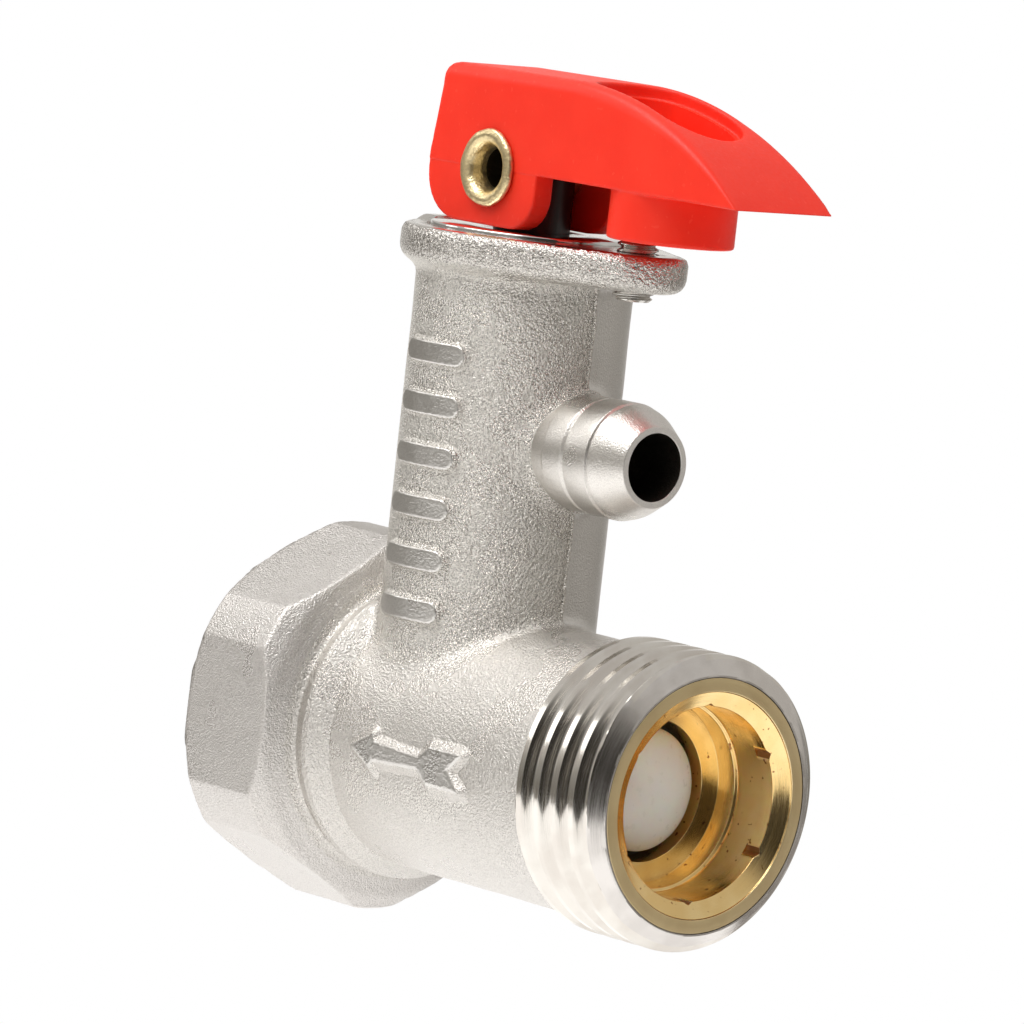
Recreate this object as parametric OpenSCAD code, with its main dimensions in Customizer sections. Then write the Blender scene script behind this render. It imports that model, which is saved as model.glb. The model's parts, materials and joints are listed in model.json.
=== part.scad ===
// Pressure relief valve with a built-in check valve, drain nozzle and test lever.
// Millimetres. The origin is the centre of the outlet mouth, in the hexagon's rear face.
// +X runs along the valve towards the male inlet, +Z runs up the relief branch.

/* [Run] */
// Length of the body from the hexagon's rear face to the male end
run_len = 41.9; // [40:0.1:44]
// Radius of the plain barrel
barrel_r = 9.65; // [9.5:0.05:10]
// Radius of the water passage between the two ends
passage_r = 6; // [5:0.1:6.4]
// Where the relief branch stands along the run
branch_x = 17.2; // [17:0.1:18]

/* [Pipe thread] */
// Crest radius of the outside half-inch pipe thread
thread_r = 10.4775; // [10.4:0.0025:10.5]
// Depth of the pipe thread
thread_depth = 1.162; // [1:0.001:1.2]
// Pitch of the pipe thread
thread_pitch = 1.814; // [1.7:0.001:1.9]
// Depth of the tapped outlet
outlet_depth = 9.2; // [8.6:0.1:9.4]

/* [Hexagon] */
// Distance across the flats
hex_af = 25; // [24.6:0.1:26]
// Length of the hexagon at the middle of a flat
hex_len = 8.9; // [8.5:0.1:9.2]
// Radius of the turned cut over the hexagon's corners
hex_round_r = 13.55; // [13.3:0.05:14]

/* [Relief branch] */
// Outside radius of the branch
branch_r = 7.745; // [7.6:0.005:8]
// Radius of the spring chamber
chamber_r = 6.25; // [6:0.05:6.3]
// Height of the chamber floor above the run's axis
chamber_floor_z = 11; // [10.5:0.1:11.4]
// Height of the branch's machined seat for the wear plate
flange_z = 36; // [35.5:0.1:36.5]
// Height of the flange's rim above that seat
rim_h = 0.35; // [0.2:0.05:0.5]
// Height of the rear lip above that seat
lip_h = 0.7; // [0.5:0.05:0.9]
// Radius of the top flange
flange_r = 9.1; // [8.8:0.1:9.4]
// Thickness of the top flange
flange_t = 2.3; // [2:0.1:2.6]
// Distance from the branch's axis to the ear's tapped hole
ear_x = 11.45; // [11.2:0.05:11.8]
// Radius of the ear's round end
ear_r = 3.6; // [3.4:0.1:3.8]
// Radius of the relief port under the seat
port_r = 2.5; // [2:0.1:2.8]

/* [Drain nozzle] */
// Height of the nozzle's axis
nozzle_z = 21.98; // [21:0.02:23]
// Largest outside radius of the nozzle
nozzle_r = 4.15; // [4:0.05:4.4]
// Bore radius of the nozzle
nozzle_bore_r = 2.35; // [2:0.05:2.6]
// Distance from the branch's axis to the nozzle's tip
nozzle_reach = 15.7; // [15:0.1:16.5]

/* [Check valve] */
// Radius of the chamber that holds the check valve
check_r = 8; // [7.9:0.05:8.1]
// Where that chamber starts along the run
check_x = 24.7; // [24.5:0.1:25]
// Radius of the insert's flange
insert_flange_r = 8.84; // [8.7:0.02:9]
// Distance across the flats of the insert's hexagon socket
socket_af = 12.1; // [12:0.05:12.3]

/* [Lever] */
// Height of the lever's pivot
pivot_z = 40.75; // [40.5:0.05:41]
// Width of the lever
lever_w = 8.96; // [8.6:0.02:9.2]
// Width of the slot between its two cheeks
slot_w = 5.6; // [5.56:0.02:5.8]
// Height of the lever's flat back
lever_top_z = 47.7; // [47:0.1:48]
// Distance from the pivot to the lever's tip
tip_reach = 25.83; // [24:0.01:27]
// Lowest point of the two cheeks
cheek_z = 36.75; // [36.7:0.05:36.9]

/* [Stem] */
// Radius of the stem
stem_r = 2.7; // [2.6:0.02:2.7]
// Running clearance of the stem and of the pivot
clearance = 0.05; // [0.03:0.01:0.08]

/* [Hidden] */

$fn = 96;
seat_gap = 0.02;               // hairline between parts that rest on each other
nickel = "#bdb8b0";
brass = "#d3ab5c";
rubber = "#26282a";
spring_steel = "#c9cacb";
red = "#f8402c";
white_plastic = "#ece7df";
black_plastic = "#19181a";

// Pipe thread as rings: crest half-width and groove half-width
thread_flank = thread_depth * tan(27.5);
thread_root_half = 0.15;
root_r = thread_r - thread_depth;
groove_half = thread_flank + thread_root_half;
first_crest_x = 33.9;
crests = 5;
end_cone_x = run_len - 0.74;
end_cone_r = 9.0;

neck_x = 12.3;                 // where the hexagon's neck has run out into the barrel
hex_cut_r = 12.55;             // rear and front faces of the hexagon end on this radius

seat_lip_r = 3.3;
seat_z = chamber_floor_z + 1;

insert_rear_x = 33.9;          // rear end of the insert, where the poppet's seal bears
insert_seat_x = 35.8;          // front of the wall that the seat hole goes through
socket_floor_x = 39.9;
insert_flange_x = 40.7;
insert_thread_r = check_r - clearance;
insert_bore_r = 6.5;
socket_bore_r = 6.75;
seat_hole_r = 4.9;

poppet_flange_x = 32.2;
poppet_nose_x = 36.8;
poppet_r = 4.35;
guide_x = check_x + 0.3;
guide_t = 1.5;
poppet_pin_r = 1.6;

relief_spring_base_z = 17.2;
relief_spring_top_z = 29.4;
plug_z = 30.15;
plug_t = 4.85;
plate_t = 0.6;
plate_r = 7.1;
plate_seat_r = plate_r + 0.25;
lip_half = 4;
eyelet_r = 1.75;
screw_x = branch_x + ear_x;
screw_r = 1.45;
boss_z = 37.35;
cheek_front_x = 5.05;
cheek_rear_x = -6.65;
cheek_rear_r = 3.4;
cheek_front_r = 2.5;
skirt_z = 40.71;
lever_arc_x = 7;
boss_x = 14.66;
boss_r = 4.42;
recess_rear_x = 10.4;          // centres of the round ends of the finger recess
recess_front_x = 15.9;
recess_r = 3.3;
recess_floor_z = 43.4;
stem_foot_z = 18.45;
seal_groove_z = 32.1;
seal_groove_t = 1.5;
seal_groove_r = 4.15;

// Revolves an outline of [x, radius] points about the run's axis.
module turned(outline) {
  rotate([0, 90, 0]) rotate_extrude() polygon([for (p = outline) [p[1], p[0]]]);
}

// Revolves an outline of [z, radius] points about the branch's axis.
module turned_up(outline) {
  translate([branch_x, 0, 0]) rotate_extrude() polygon([for (p = outline) [p[1], p[0]]]);
}

// Points round an arc about c, from angle a to angle b.
function arc(c, r, a, b, n = 10) = [
  for (i = [0 : n])
    let (angle = a + (b - a) * i / n)
    c + r * [cos(angle), sin(angle)]
];

// One V groove of the ring thread, from the crest radius to the root and back.
function groove(x, crest, root) = [
  [x - groove_half, crest],
  [x - thread_root_half, root],
  [x + thread_root_half, root],
  [x + groove_half, crest]
];

// Wire swept along a spring whose two end turns close up.
module coil(wire_r, mean_r, length, turns, sides = 8, steps = 20) {
  rings = turns * steps;
  closed_pitch = 2.05 * wire_r;
  open_run = length - 2 * wire_r - 2 * closed_pitch;
  function climb(t) =
    wire_r + closed_pitch * (min(t, 1) + max(t - turns + 1, 0))
    + open_run * max(0, min(t - 1, turns - 2)) / (turns - 2);
  points = [
    for (i = [0 : rings], s = [0 : sides - 1])
      let (
        turn = 360 * i / steps,
        around = 360 * s / sides,
        out = mean_r + wire_r * cos(around)
      )
      [out * cos(turn), out * sin(turn), climb(i / steps) + wire_r * sin(around)]
  ];
  start_cap = [[for (s = [0 : sides - 1]) s]];
  end_cap = [[for (s = [sides - 1 : -1 : 0]) rings * sides + s]];
  skin = [
    for (i = [0 : rings - 1], s = [0 : sides - 1])
      let (t = (s + 1) % sides)
      [i * sides + s, (i + 1) * sides + s, (i + 1) * sides + t, i * sides + t]
  ];
  polyhedron(points, concat(start_cap, skin, end_cap));
}

// Wrench hexagon of the female end with two corners on the Z axis, turned over its corners and ends.
module hexagon_end() {
  intersection() {
    rotate([0, 90, 0]) cylinder(r = hex_af / 2 / cos(30), h = hex_len + 1, $fn = 6);
    turned([
      [0, 0], [0, hex_cut_r], [hex_round_r - hex_cut_r, hex_round_r],
      [hex_len - 1.25, hex_round_r], [hex_len, 12.5], [hex_len + 0.6, 11.3], [hex_len + 0.6, 0]
    ]);
  }
}

// Neck, barrel and ring-threaded male end.
module barrel() {
  turned(concat(
    [[1, 0], [1, 11], [hex_len + 0.6, 11.3], [hex_len + 1.1, 10.55], [hex_len + 1.6, 10.6],
     [hex_len + 2.1, 10.85], [neck_x - 0.7, 10.1], [neck_x, barrel_r],
     [first_crest_x - 0.75, barrel_r], [first_crest_x - 0.15, thread_r]],
    [for (i = [0 : crests - 2], p = groove(first_crest_x + thread_pitch * (i + 0.5), thread_r, root_r)) p],
    [[end_cone_x, thread_r], [run_len, end_cone_r], [run_len, 0]]
  ));
}

// Top flange with its ear, blended by the two common tangents, and the lip that locates the wear plate.
module flange() {
  lean = asin((flange_r - ear_r) / ear_x);
  touch = [sin(lean), cos(lean)];
  height = flange_t + rim_h;
  translate([branch_x, 0, flange_z - flange_t]) {
    cylinder(r = flange_r, h = height);
    translate([ear_x, 0, 0]) cylinder(r = ear_r, h = height);
    linear_extrude(height)
      polygon([
        flange_r * touch, [ear_x, 0] + ear_r * touch,
        [ear_x + ear_r * touch[0], -ear_r * touch[1]], [flange_r * touch[0], -flange_r * touch[1]]
      ]);
    intersection() {
      cylinder(r = flange_r - 0.25, h = flange_t + lip_h);
      translate([-flange_r, -lip_half, 0]) cube([3, 2 * lip_half, flange_t + lip_h]);
    }
  }
}

// Barbed drain nozzle along +X.
module nozzle() {
  translate([branch_x, 0, nozzle_z]) turned([
    [0, 0], [0, nozzle_r - 0.1], [10.4, nozzle_r - 0.1], [10.6, nozzle_r - 0.25], [10.9, nozzle_r],
    [12.9, nozzle_r], [13.1, nozzle_r - 0.25], [13.6, nozzle_r - 0.2], [14.6, nozzle_r - 0.62],
    [15.3, nozzle_r - 1], [nozzle_reach, 2.85], [nozzle_reach, 0]
  ]);
}

// Raised flow arrow on the barrel's side, pointing at the outlet.
module flow_arrow() {
  outline = [[-1.9, 0], [0.7, 1.4], [0.7, 0.75], [5.6, 0.5], [6.8, 1.45], [10.4, 1.45], [9, 0]];
  translate([branch_x, -barrel_r + 1, -0.3]) rotate([90, 0, 0]) linear_extrude(1.4)
    polygon(concat(outline, [for (i = [len(outline) - 2 : -1 : 1]) [outline[i][0], -outline[i][1]]]));
}

// Plain raised bars up the branch, where a rating would be cast.
module branch_bars() {
  for (i = [0 : 5]) {
    translate([branch_x - 3, -branch_r - 0.35, 9 + 3.6 * i]) cube([6, 2.5, 1.4]);
  }
}

module valve_body() {
  color(nickel) difference() {
    union() {
      hexagon_end();
      barrel();
      turned_up([
        [0, 0], [0, branch_r], [flange_z - 3.4, branch_r], [flange_z - 2.7, branch_r + 0.5],
        [flange_z - 2.2, branch_r + 0.9], [flange_z - 2.2, 0]
      ]);
      flange();
      nozzle();
      flow_arrow();
      branch_bars();
    }
    // tapped outlet
    turned(concat(
      [[-1, 0], [-1, root_r + 1.45], [0.45, root_r]],
      [for (i = [0 : 3], p = groove(2.6 + thread_pitch * i, root_r, thread_r)) p],
      [[outlet_depth, root_r], [outlet_depth, 0]]
    ));
    // water passage and the check valve's chamber
    turned([
      [outlet_depth - 1, 0], [outlet_depth - 1, passage_r], [check_x, passage_r], [check_x, check_r],
      [insert_flange_x, check_r], [insert_flange_x, insert_flange_r + clearance],
      [run_len + 1, insert_flange_r + clearance], [run_len + 1, 0]
    ]);
    // relief port and the spring chamber, with the seat's lip left standing
    turned_up([
      [0, 0], [0, port_r], [seat_z, port_r], [seat_z, seat_lip_r], [chamber_floor_z, seat_lip_r + 0.4],
      [chamber_floor_z, chamber_r], [flange_z + 1, chamber_r], [flange_z + 1, 0]
    ]);
    translate([branch_x + 5, 0, nozzle_z]) rotate([0, 90, 0]) cylinder(r = nozzle_bore_r, h = nozzle_reach);
    translate([branch_x, 0, flange_z]) cylinder(r = plate_seat_r, h = 2);
    translate([screw_x, 0, flange_z - 4]) cylinder(r = screw_r + clearance, h = 5);
  }
}

// Brass retainer with a hexagon socket. Its rear face is the check valve's seat.
module check_insert() {
  color(brass) difference() {
    turned([
      [insert_rear_x, 0], [insert_rear_x, insert_thread_r], [34.5, insert_thread_r], [34.5, 6.95],
      [35.8, 6.95], [35.8, insert_thread_r], [36.6, insert_thread_r - 0.5], [37.4, insert_thread_r],
      [38.2, insert_thread_r - 0.5], [39, insert_thread_r], [39.8, insert_thread_r - 0.5],
      [insert_flange_x, insert_thread_r], [insert_flange_x, insert_flange_r], [run_len, insert_flange_r],
      [run_len, 0]
    ]);
    turned([
      [insert_rear_x - 1, 0], [insert_rear_x - 1, seat_hole_r], [insert_seat_x, seat_hole_r],
      [insert_seat_x, insert_bore_r], [37.5, insert_bore_r], [37.5, socket_bore_r],
      [41.2, socket_bore_r], [run_len - 0.1, 7.92], [run_len + 1, 7.92], [run_len + 1, 0]
    ]);
    // the socket's six corners, cut just outside its pilot bore
    translate([socket_floor_x, 0, 0]) rotate([0, 90, 0])
      cylinder(r = socket_af / 2 / cos(30), h = 5, $fn = 6);
  }
}

module insert_seal_ring() {
  color(rubber) translate([35.15, 0, 0]) rotate([0, 90, 0])
    rotate_extrude() translate([7.46, 0]) circle(r = 0.5);
}

// Domed poppet that closes the seat from behind and slides in the guide.
module check_poppet() {
  color(white_plastic) turned(concat(
    [[check_x + 0.2, 0], [check_x + 0.2, 1.3], [check_x + 0.5, poppet_pin_r],
     [poppet_flange_x, poppet_pin_r], [poppet_flange_x, 6.6], [33.1, 6.6],
     [33.1, poppet_r], [35.2, poppet_r]],
    [for (a = [15 : 15 : 90]) [35.2 + (poppet_nose_x - 35.2) * sin(a), poppet_r * cos(a)]]
  ));
}

module poppet_seal() {
  color(rubber) turned([
    [33.1, poppet_r + 0.02], [33.1, 6.4], [insert_rear_x - seat_gap, 6.4],
    [insert_rear_x - seat_gap, poppet_r + 0.02]
  ]);
}

module check_spring() {
  base = guide_x + guide_t + seat_gap;
  color(spring_steel) translate([base, 0, 0]) rotate([0, 90, 0])
    coil(0.28, 3.2, poppet_flange_x - base - seat_gap, 4.5);
}

// Open spider that guides the poppet's pin and backs its spring.
module check_guide() {
  ring_r = check_r - clearance;
  hub_r = 2.9;
  color(white_plastic) difference() {
    translate([guide_x - 0.3, 0, 0]) rotate([0, 90, 0]) {
      difference() {
        cylinder(r = ring_r, h = guide_t + 0.3);
        translate([0, 0, -1]) cylinder(r = passage_r + 0.3, h = guide_t + 3);
      }
      cylinder(r = hub_r, h = guide_t + 0.3);
      for (a = [0 : 90 : 270]) {
        rotate([0, 0, a]) translate([hub_r - 0.4, -0.7, 0]) cube([ring_r - hub_r - 0.8, 1.4, guide_t + 0.3]);
      }
    }
    translate([guide_x - 2, 0, 0]) rotate([0, 90, 0]) cylinder(r = poppet_pin_r + clearance, h = 6);
  }
}

module relief_disc() {
  color(rubber) translate([branch_x, 0, seat_z + seat_gap]) cylinder(r = 4.2, h = 1.6);
}

// Cup that carries the rubber disc and centres the spring.
module disc_holder() {
  cup_z = seat_z + 0.8;
  color(brass) turned_up([
    [cup_z, 4.22], [cup_z, 5], [16, 5], [16, 5.7], [relief_spring_base_z, 5.7],
    [relief_spring_base_z, 3.4], [18.4, 3.2], [18.4, 1.52], [15, 1.52], [15, 0],
    [seat_z + seat_gap + 1.62, 0], [seat_z + seat_gap + 1.62, 4.22]
  ]);
}

module relief_spring() {
  color(spring_steel) translate([branch_x, 0, relief_spring_base_z + seat_gap])
    coil(0.6, 4.5, relief_spring_top_z - relief_spring_base_z - 2 * seat_gap, 6.5);
}

module spring_washer() {
  color(nickel) turned_up([
    [relief_spring_top_z, stem_r + 0.15], [relief_spring_top_z, 5.9],
    [plug_z - seat_gap, 5.9], [plug_z - seat_gap, stem_r + 0.15]
  ]);
}

// Threaded plug that sets the spring, with a seal groove and two key holes.
module adjusting_plug() {
  plug_r = chamber_r - clearance;
  bore_r = stem_r + clearance;
  color(brass) difference() {
    turned_up(concat(
      [[plug_z, bore_r], [plug_z, plug_r - 0.3], [plug_z + 0.3, plug_r]],
      [for (i = [0 : 3], p = [[0.9, 0], [1.2, -0.4], [1.5, 0]]) [plug_z + i + p[0], plug_r + p[1]]],
      [[plug_z + plug_t - 0.3, plug_r], [plug_z + plug_t, plug_r - 0.3], [plug_z + plug_t, bore_r],
       [seal_groove_z + seal_groove_t, bore_r], [seal_groove_z + seal_groove_t, seal_groove_r],
       [seal_groove_z, seal_groove_r], [seal_groove_z, bore_r]]
    ));
    for (side = [-1, 1]) {
      translate([branch_x, side * 5, plug_z + plug_t - 1]) cylinder(r = 0.6, h = 2);
    }
  }
}

// Black stem: a round rod with a cross hole under its rounded head.
module stem() {
  color(black_plastic) difference() {
    union() {
      translate([branch_x, 0, stem_foot_z]) cylinder(r = stem_r, h = pivot_z - stem_foot_z);
      intersection() {
        translate([branch_x, 0, pivot_z]) rotate([90, 0, 0]) cylinder(r = stem_r, h = 8, center = true);
        translate([branch_x, 0, pivot_z - 4]) cylinder(r = stem_r, h = 8);
      }
      translate([branch_x, 0, 15]) cylinder(r = 1.5, h = 4);
    }
    translate([branch_x, 0, pivot_z]) rotate([90, 0, 0])
      cylinder(r = eyelet_r + clearance, h = 8, center = true);
  }
}

module stem_seal_ring() {
  color(rubber) translate([branch_x, 0, seal_groove_z + seal_groove_t / 2])
    rotate_extrude() translate([stem_r + 0.72, 0]) circle(r = 0.7);
}

module wear_plate() {
  hole_r = stem_r + 0.15;
  color("silver") turned_up([
    [flange_z, hole_r], [flange_z, plate_r], [flange_z + plate_t, plate_r], [flange_z + plate_t, hole_r]
  ]);
}

// Side outline of the lever, with the pivot's X as zero.
function lever_side() =
  let (
    drop = lever_top_z - skirt_z,
    run = tip_reach - lever_arc_x,
    arc_r = (run * run + drop * drop) / 2 / drop,
    tip_angle = asin(run / arc_r)
  )
  concat(
    [[tip_reach, skirt_z], [cheek_front_x, skirt_z]],
    arc([cheek_front_x - cheek_front_r, cheek_z + cheek_front_r], cheek_front_r, 0, -90),
    arc([cheek_rear_x + cheek_rear_r, cheek_z + cheek_rear_r], cheek_rear_r, -90, -180),
    arc([cheek_rear_x + 1.4, lever_top_z - 1.2], 1.2, 180, 90),
    arc([lever_arc_x, lever_top_z - arc_r], arc_r, 90, 90 - tip_angle, 24)
  );

// Red handle: two cheeks on the stem, a curved back, a finger recess and a boss.
module lever() {
  color(red) translate([branch_x, 0, 0]) difference() {
    union() {
      rotate([90, 0, 0]) linear_extrude(lever_w, center = true) polygon(lever_side());
      translate([boss_x, 0, boss_z]) cylinder(r = boss_r, h = 4.5);
    }
    // slot for the stem, open below and behind
    translate([cheek_rear_x - 1, -slot_w / 2, cheek_z - 1])
      cube([cheek_front_x - cheek_rear_x + 1.8, slot_w, pivot_z + stem_r + 0.2 - cheek_z + 1]);
    // recess in the back
    for (x = [recess_rear_x, recess_front_x]) {
      translate([x, 0, recess_floor_z]) cylinder(r = recess_r, h = 6);
    }
    translate([recess_rear_x, -recess_r, recess_floor_z])
      cube([recess_front_x - recess_rear_x, 2 * recess_r, 6]);
    translate([0, 0, pivot_z]) rotate([90, 0, 0]) cylinder(r = eyelet_r + 0.01, h = 20, center = true);
  }
}

// Tubular rivet with a rolled head at each end, on which the lever turns.
module pivot_eyelet() {
  head_y = lever_w / 2 + seat_gap;
  bore_r = 1.37;
  flare = [
    [0, eyelet_r], [0, 2.5], [0.2, 2.78], [0.42, 2.7], [0.52, 2.35], [0.46, 1.9], [0.1, 1.55], [-0.6, bore_r]
  ];
  color("#c9a765") translate([branch_x, 0, pivot_z]) rotate([90, 0, 0]) rotate_extrude()
    polygon(concat(
      [for (p = flare) [p[1], head_y + p[0]]],
      [for (i = [len(flare) - 1 : -1 : 0]) [flare[i][1], -head_y - flare[i][0]]]
    ));
}

// Small screw through the ear, its end just under the lever's boss.
module stop_screw() {
  pitch = 0.5;
  depth = 0.28;
  low_z = 33;
  high_z = boss_z - 0.1;
  turns = floor((high_z - low_z - 0.5) / pitch);
  color("#b9b6b0") translate([screw_x, 0, 0]) difference() {
    rotate_extrude() polygon(concat(
      [[0, low_z], [screw_r - depth, low_z]],
      [for (i = [0 : turns - 1], p = [[depth, 0.02], [0, 0.2], [0, 0.3], [depth, 0.48]])
        [screw_r - p[0], low_z + pitch * i + p[1]]],
      [[screw_r - depth, high_z], [0, high_z]]
    ));
    translate([-2, -0.2, high_z - 0.5]) cube([4, 0.4, 1]);
  }
}

valve_body();
check_insert();
insert_seal_ring();
check_poppet();
poppet_seal();
check_spring();
check_guide();
relief_disc();
disc_holder();
relief_spring();
spring_washer();
adjusting_plug();
stem();
stem_seal_ring();
wear_plate();
lever();
pivot_eyelet();
stop_screw();
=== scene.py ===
import json
import math

import bmesh
import bpy
import numpy as np
from mathutils import Matrix, Vector


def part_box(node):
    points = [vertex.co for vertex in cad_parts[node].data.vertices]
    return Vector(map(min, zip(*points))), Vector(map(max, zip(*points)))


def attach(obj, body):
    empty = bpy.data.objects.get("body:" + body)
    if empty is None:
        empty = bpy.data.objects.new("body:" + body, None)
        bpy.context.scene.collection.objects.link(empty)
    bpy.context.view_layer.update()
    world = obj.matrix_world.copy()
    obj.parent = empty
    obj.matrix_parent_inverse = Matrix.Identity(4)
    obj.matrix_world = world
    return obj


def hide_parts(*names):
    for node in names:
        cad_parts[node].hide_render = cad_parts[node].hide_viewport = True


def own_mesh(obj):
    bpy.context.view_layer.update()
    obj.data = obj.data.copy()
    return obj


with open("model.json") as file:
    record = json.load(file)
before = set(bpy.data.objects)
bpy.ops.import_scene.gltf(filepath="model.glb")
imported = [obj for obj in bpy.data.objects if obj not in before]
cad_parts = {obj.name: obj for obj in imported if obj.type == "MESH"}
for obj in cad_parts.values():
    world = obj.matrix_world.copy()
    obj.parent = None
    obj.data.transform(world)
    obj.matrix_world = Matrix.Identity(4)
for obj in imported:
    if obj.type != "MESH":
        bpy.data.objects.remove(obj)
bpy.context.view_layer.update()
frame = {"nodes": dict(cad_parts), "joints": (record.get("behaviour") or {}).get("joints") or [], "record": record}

# ---------------------------------------------------------------- sizes, in millimetres
MM = 1000.0


def box_mm(node):
    """Lowest and highest corner of a CAD node, in millimetres."""
    low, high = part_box(node)
    return np.array(low) * MM, np.array(high) * MM


def mount_mm(name):
    """Position, radius and length of one of the record's mounts."""
    mount = next(m for m in frame["record"]["mounts"] if m["name"] == name)
    return np.array(mount["pos_m"]) * MM, mount["dims"]["r_mm"], mount["dims"]["length_mm"]


def joint(name):
    return next(j for j in frame["joints"] if j["name"] == name)


body_low, body_high = box_mm("valve_body")
lever_low, lever_high = box_mm("lever")
insert_low, insert_high = box_mm("check_insert")
poppet_low, poppet_high = box_mm("check_poppet")
plate_low, plate_high = box_mm("wear_plate")
screw_low, screw_high = box_mm("stop_screw")

BRANCH_X, _, PIVOT_Z = np.array(joint("lever_lift")["pos_m"]) * MM
RUN_LEN = body_high[0]
FLANGE_Z = plate_low[2]
RIM_H = 0.35
RIM_Z = FLANGE_Z + RIM_H
LIP_Z = body_high[2]
HEX_APOTHEM = body_high[1]
THREAD_R = mount_mm("inlet_thread")[1]
ROOT_R = mount_mm("outlet_thread")[1]
NOZZLE_Z = mount_mm("drain_nozzle")[0][2]
NOZZLE_R = mount_mm("drain_nozzle")[1]
NOZZLE_TIP = mount_mm("drain_bore")[0][0] + 0.1
NOZZLE_BORE_R = mount_mm("drain_bore")[1]
SCREW_X = (screw_low[0] + screw_high[0]) / 2
PITCH = 1.814

BARREL_R = 9.65
BRANCH_R = 7.745
PASSAGE_R = 6.0
CHECK_R = 8.0
CHECK_X = 24.7
CHAMBER_R = 6.25
CHAMBER_Z = 11.0
HEX_EDGE_R = 0.3
HEX_TURNED_R = 13.55
SLEEVE_X = 33.1
FLANGE_R = 9.1
FLANGE_T = 2.3
DIE_STEP = 0.10
LIP_START, LIP_HALF = 6.0, 4.2
PLATE_SEAT_R = 7.35
EAR_R = 3.6
ARROW_TOP = 10.05
ARROW_FLANK = 1.1
BORE_GAP = 0.1


# ---------------------------------------------------------------- solid fields
def smooth_min(a, b, k):
    """Union whose inside corner is filled over about k."""
    h = np.clip(0.5 + 0.5 * (b - a) / k, 0, 1)
    return b + (a - b) * h - k * h * (1 - h)


def smooth_max(a, b, k):
    """Intersection whose edge is rounded over about k."""
    return -smooth_min(-a, -b, k)


def hexagon_2d(u, v, apothem):
    """Distance to a hexagon with two corners on the u axis."""
    u, v = np.abs(u), np.abs(v)
    fold = 2 * np.minimum(-math.cos(math.pi / 6) * u + 0.5 * v, 0)
    u = u + math.cos(math.pi / 6) * fold
    v = v - 0.5 * fold
    half_side = apothem * math.tan(math.pi / 6)
    du = u - np.clip(u, -half_side, half_side)
    return np.hypot(du, v - apothem) * np.sign(v - apothem)


def capsule_2d(u, v, r_start, r_end, length):
    """Distance to two circles and their common tangents, the second circle at u = length."""
    v = np.abs(v)
    lean = (r_start - r_end) / length
    flat = math.sqrt(1 - lean * lean)
    along = u * flat - v * lean
    return np.where(
        along < 0, np.hypot(u, v) - r_start,
        np.where(along > flat * length, np.hypot(u - length, v) - r_end, v * flat + u * lean - r_start))


def polygon_2d(u, v, outline):
    """Distance to a closed outline, negative inside."""
    nearest = np.full(np.shape(u), 1e9, np.float32)
    inside = np.zeros(np.shape(u), bool)
    for (au, av), (bu, bv) in zip(outline, outline[1:] + outline[:1]):
        eu, ev = bu - au, bv - av
        wu, wv = u - au, v - av
        t = np.clip((wu * eu + wv * ev) / (eu * eu + ev * ev), 0, 1)
        nearest = np.minimum(nearest, (wu - eu * t) ** 2 + (wv - ev * t) ** 2)
        if av != bv:
            inside ^= ((av > v) != (bv > v)) & (u < eu * (v - av) / ev + au)
    return np.where(inside, -1, 1) * np.sqrt(nearest)


def waves(x, y, z, size):
    """Slow, fixed unevenness between about -1 and 1, with bumps about size across."""
    s = 2 * math.pi / size
    return (np.sin(s * (0.61 * x + 0.37 * y + 0.11 * z) + 0.4)
            * np.sin(s * (0.23 * x - 0.71 * y + 0.53 * z) + 1.7)
            + np.sin(s * (-0.33 * x + 0.29 * y + 0.83 * z) + 2.9) * 0.5) / 1.5


def slope(field, points, reach=0.02):
    """Gradient of a field at each point."""
    return np.stack([
        (field(*(points + reach * e).T) - field(*(points - reach * e).T)) / (2 * reach) for e in np.eye(3)], 1)


def unit(vectors):
    return vectors / np.maximum(np.linalg.norm(vectors, axis=1, keepdims=True), 1e-9)


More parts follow.
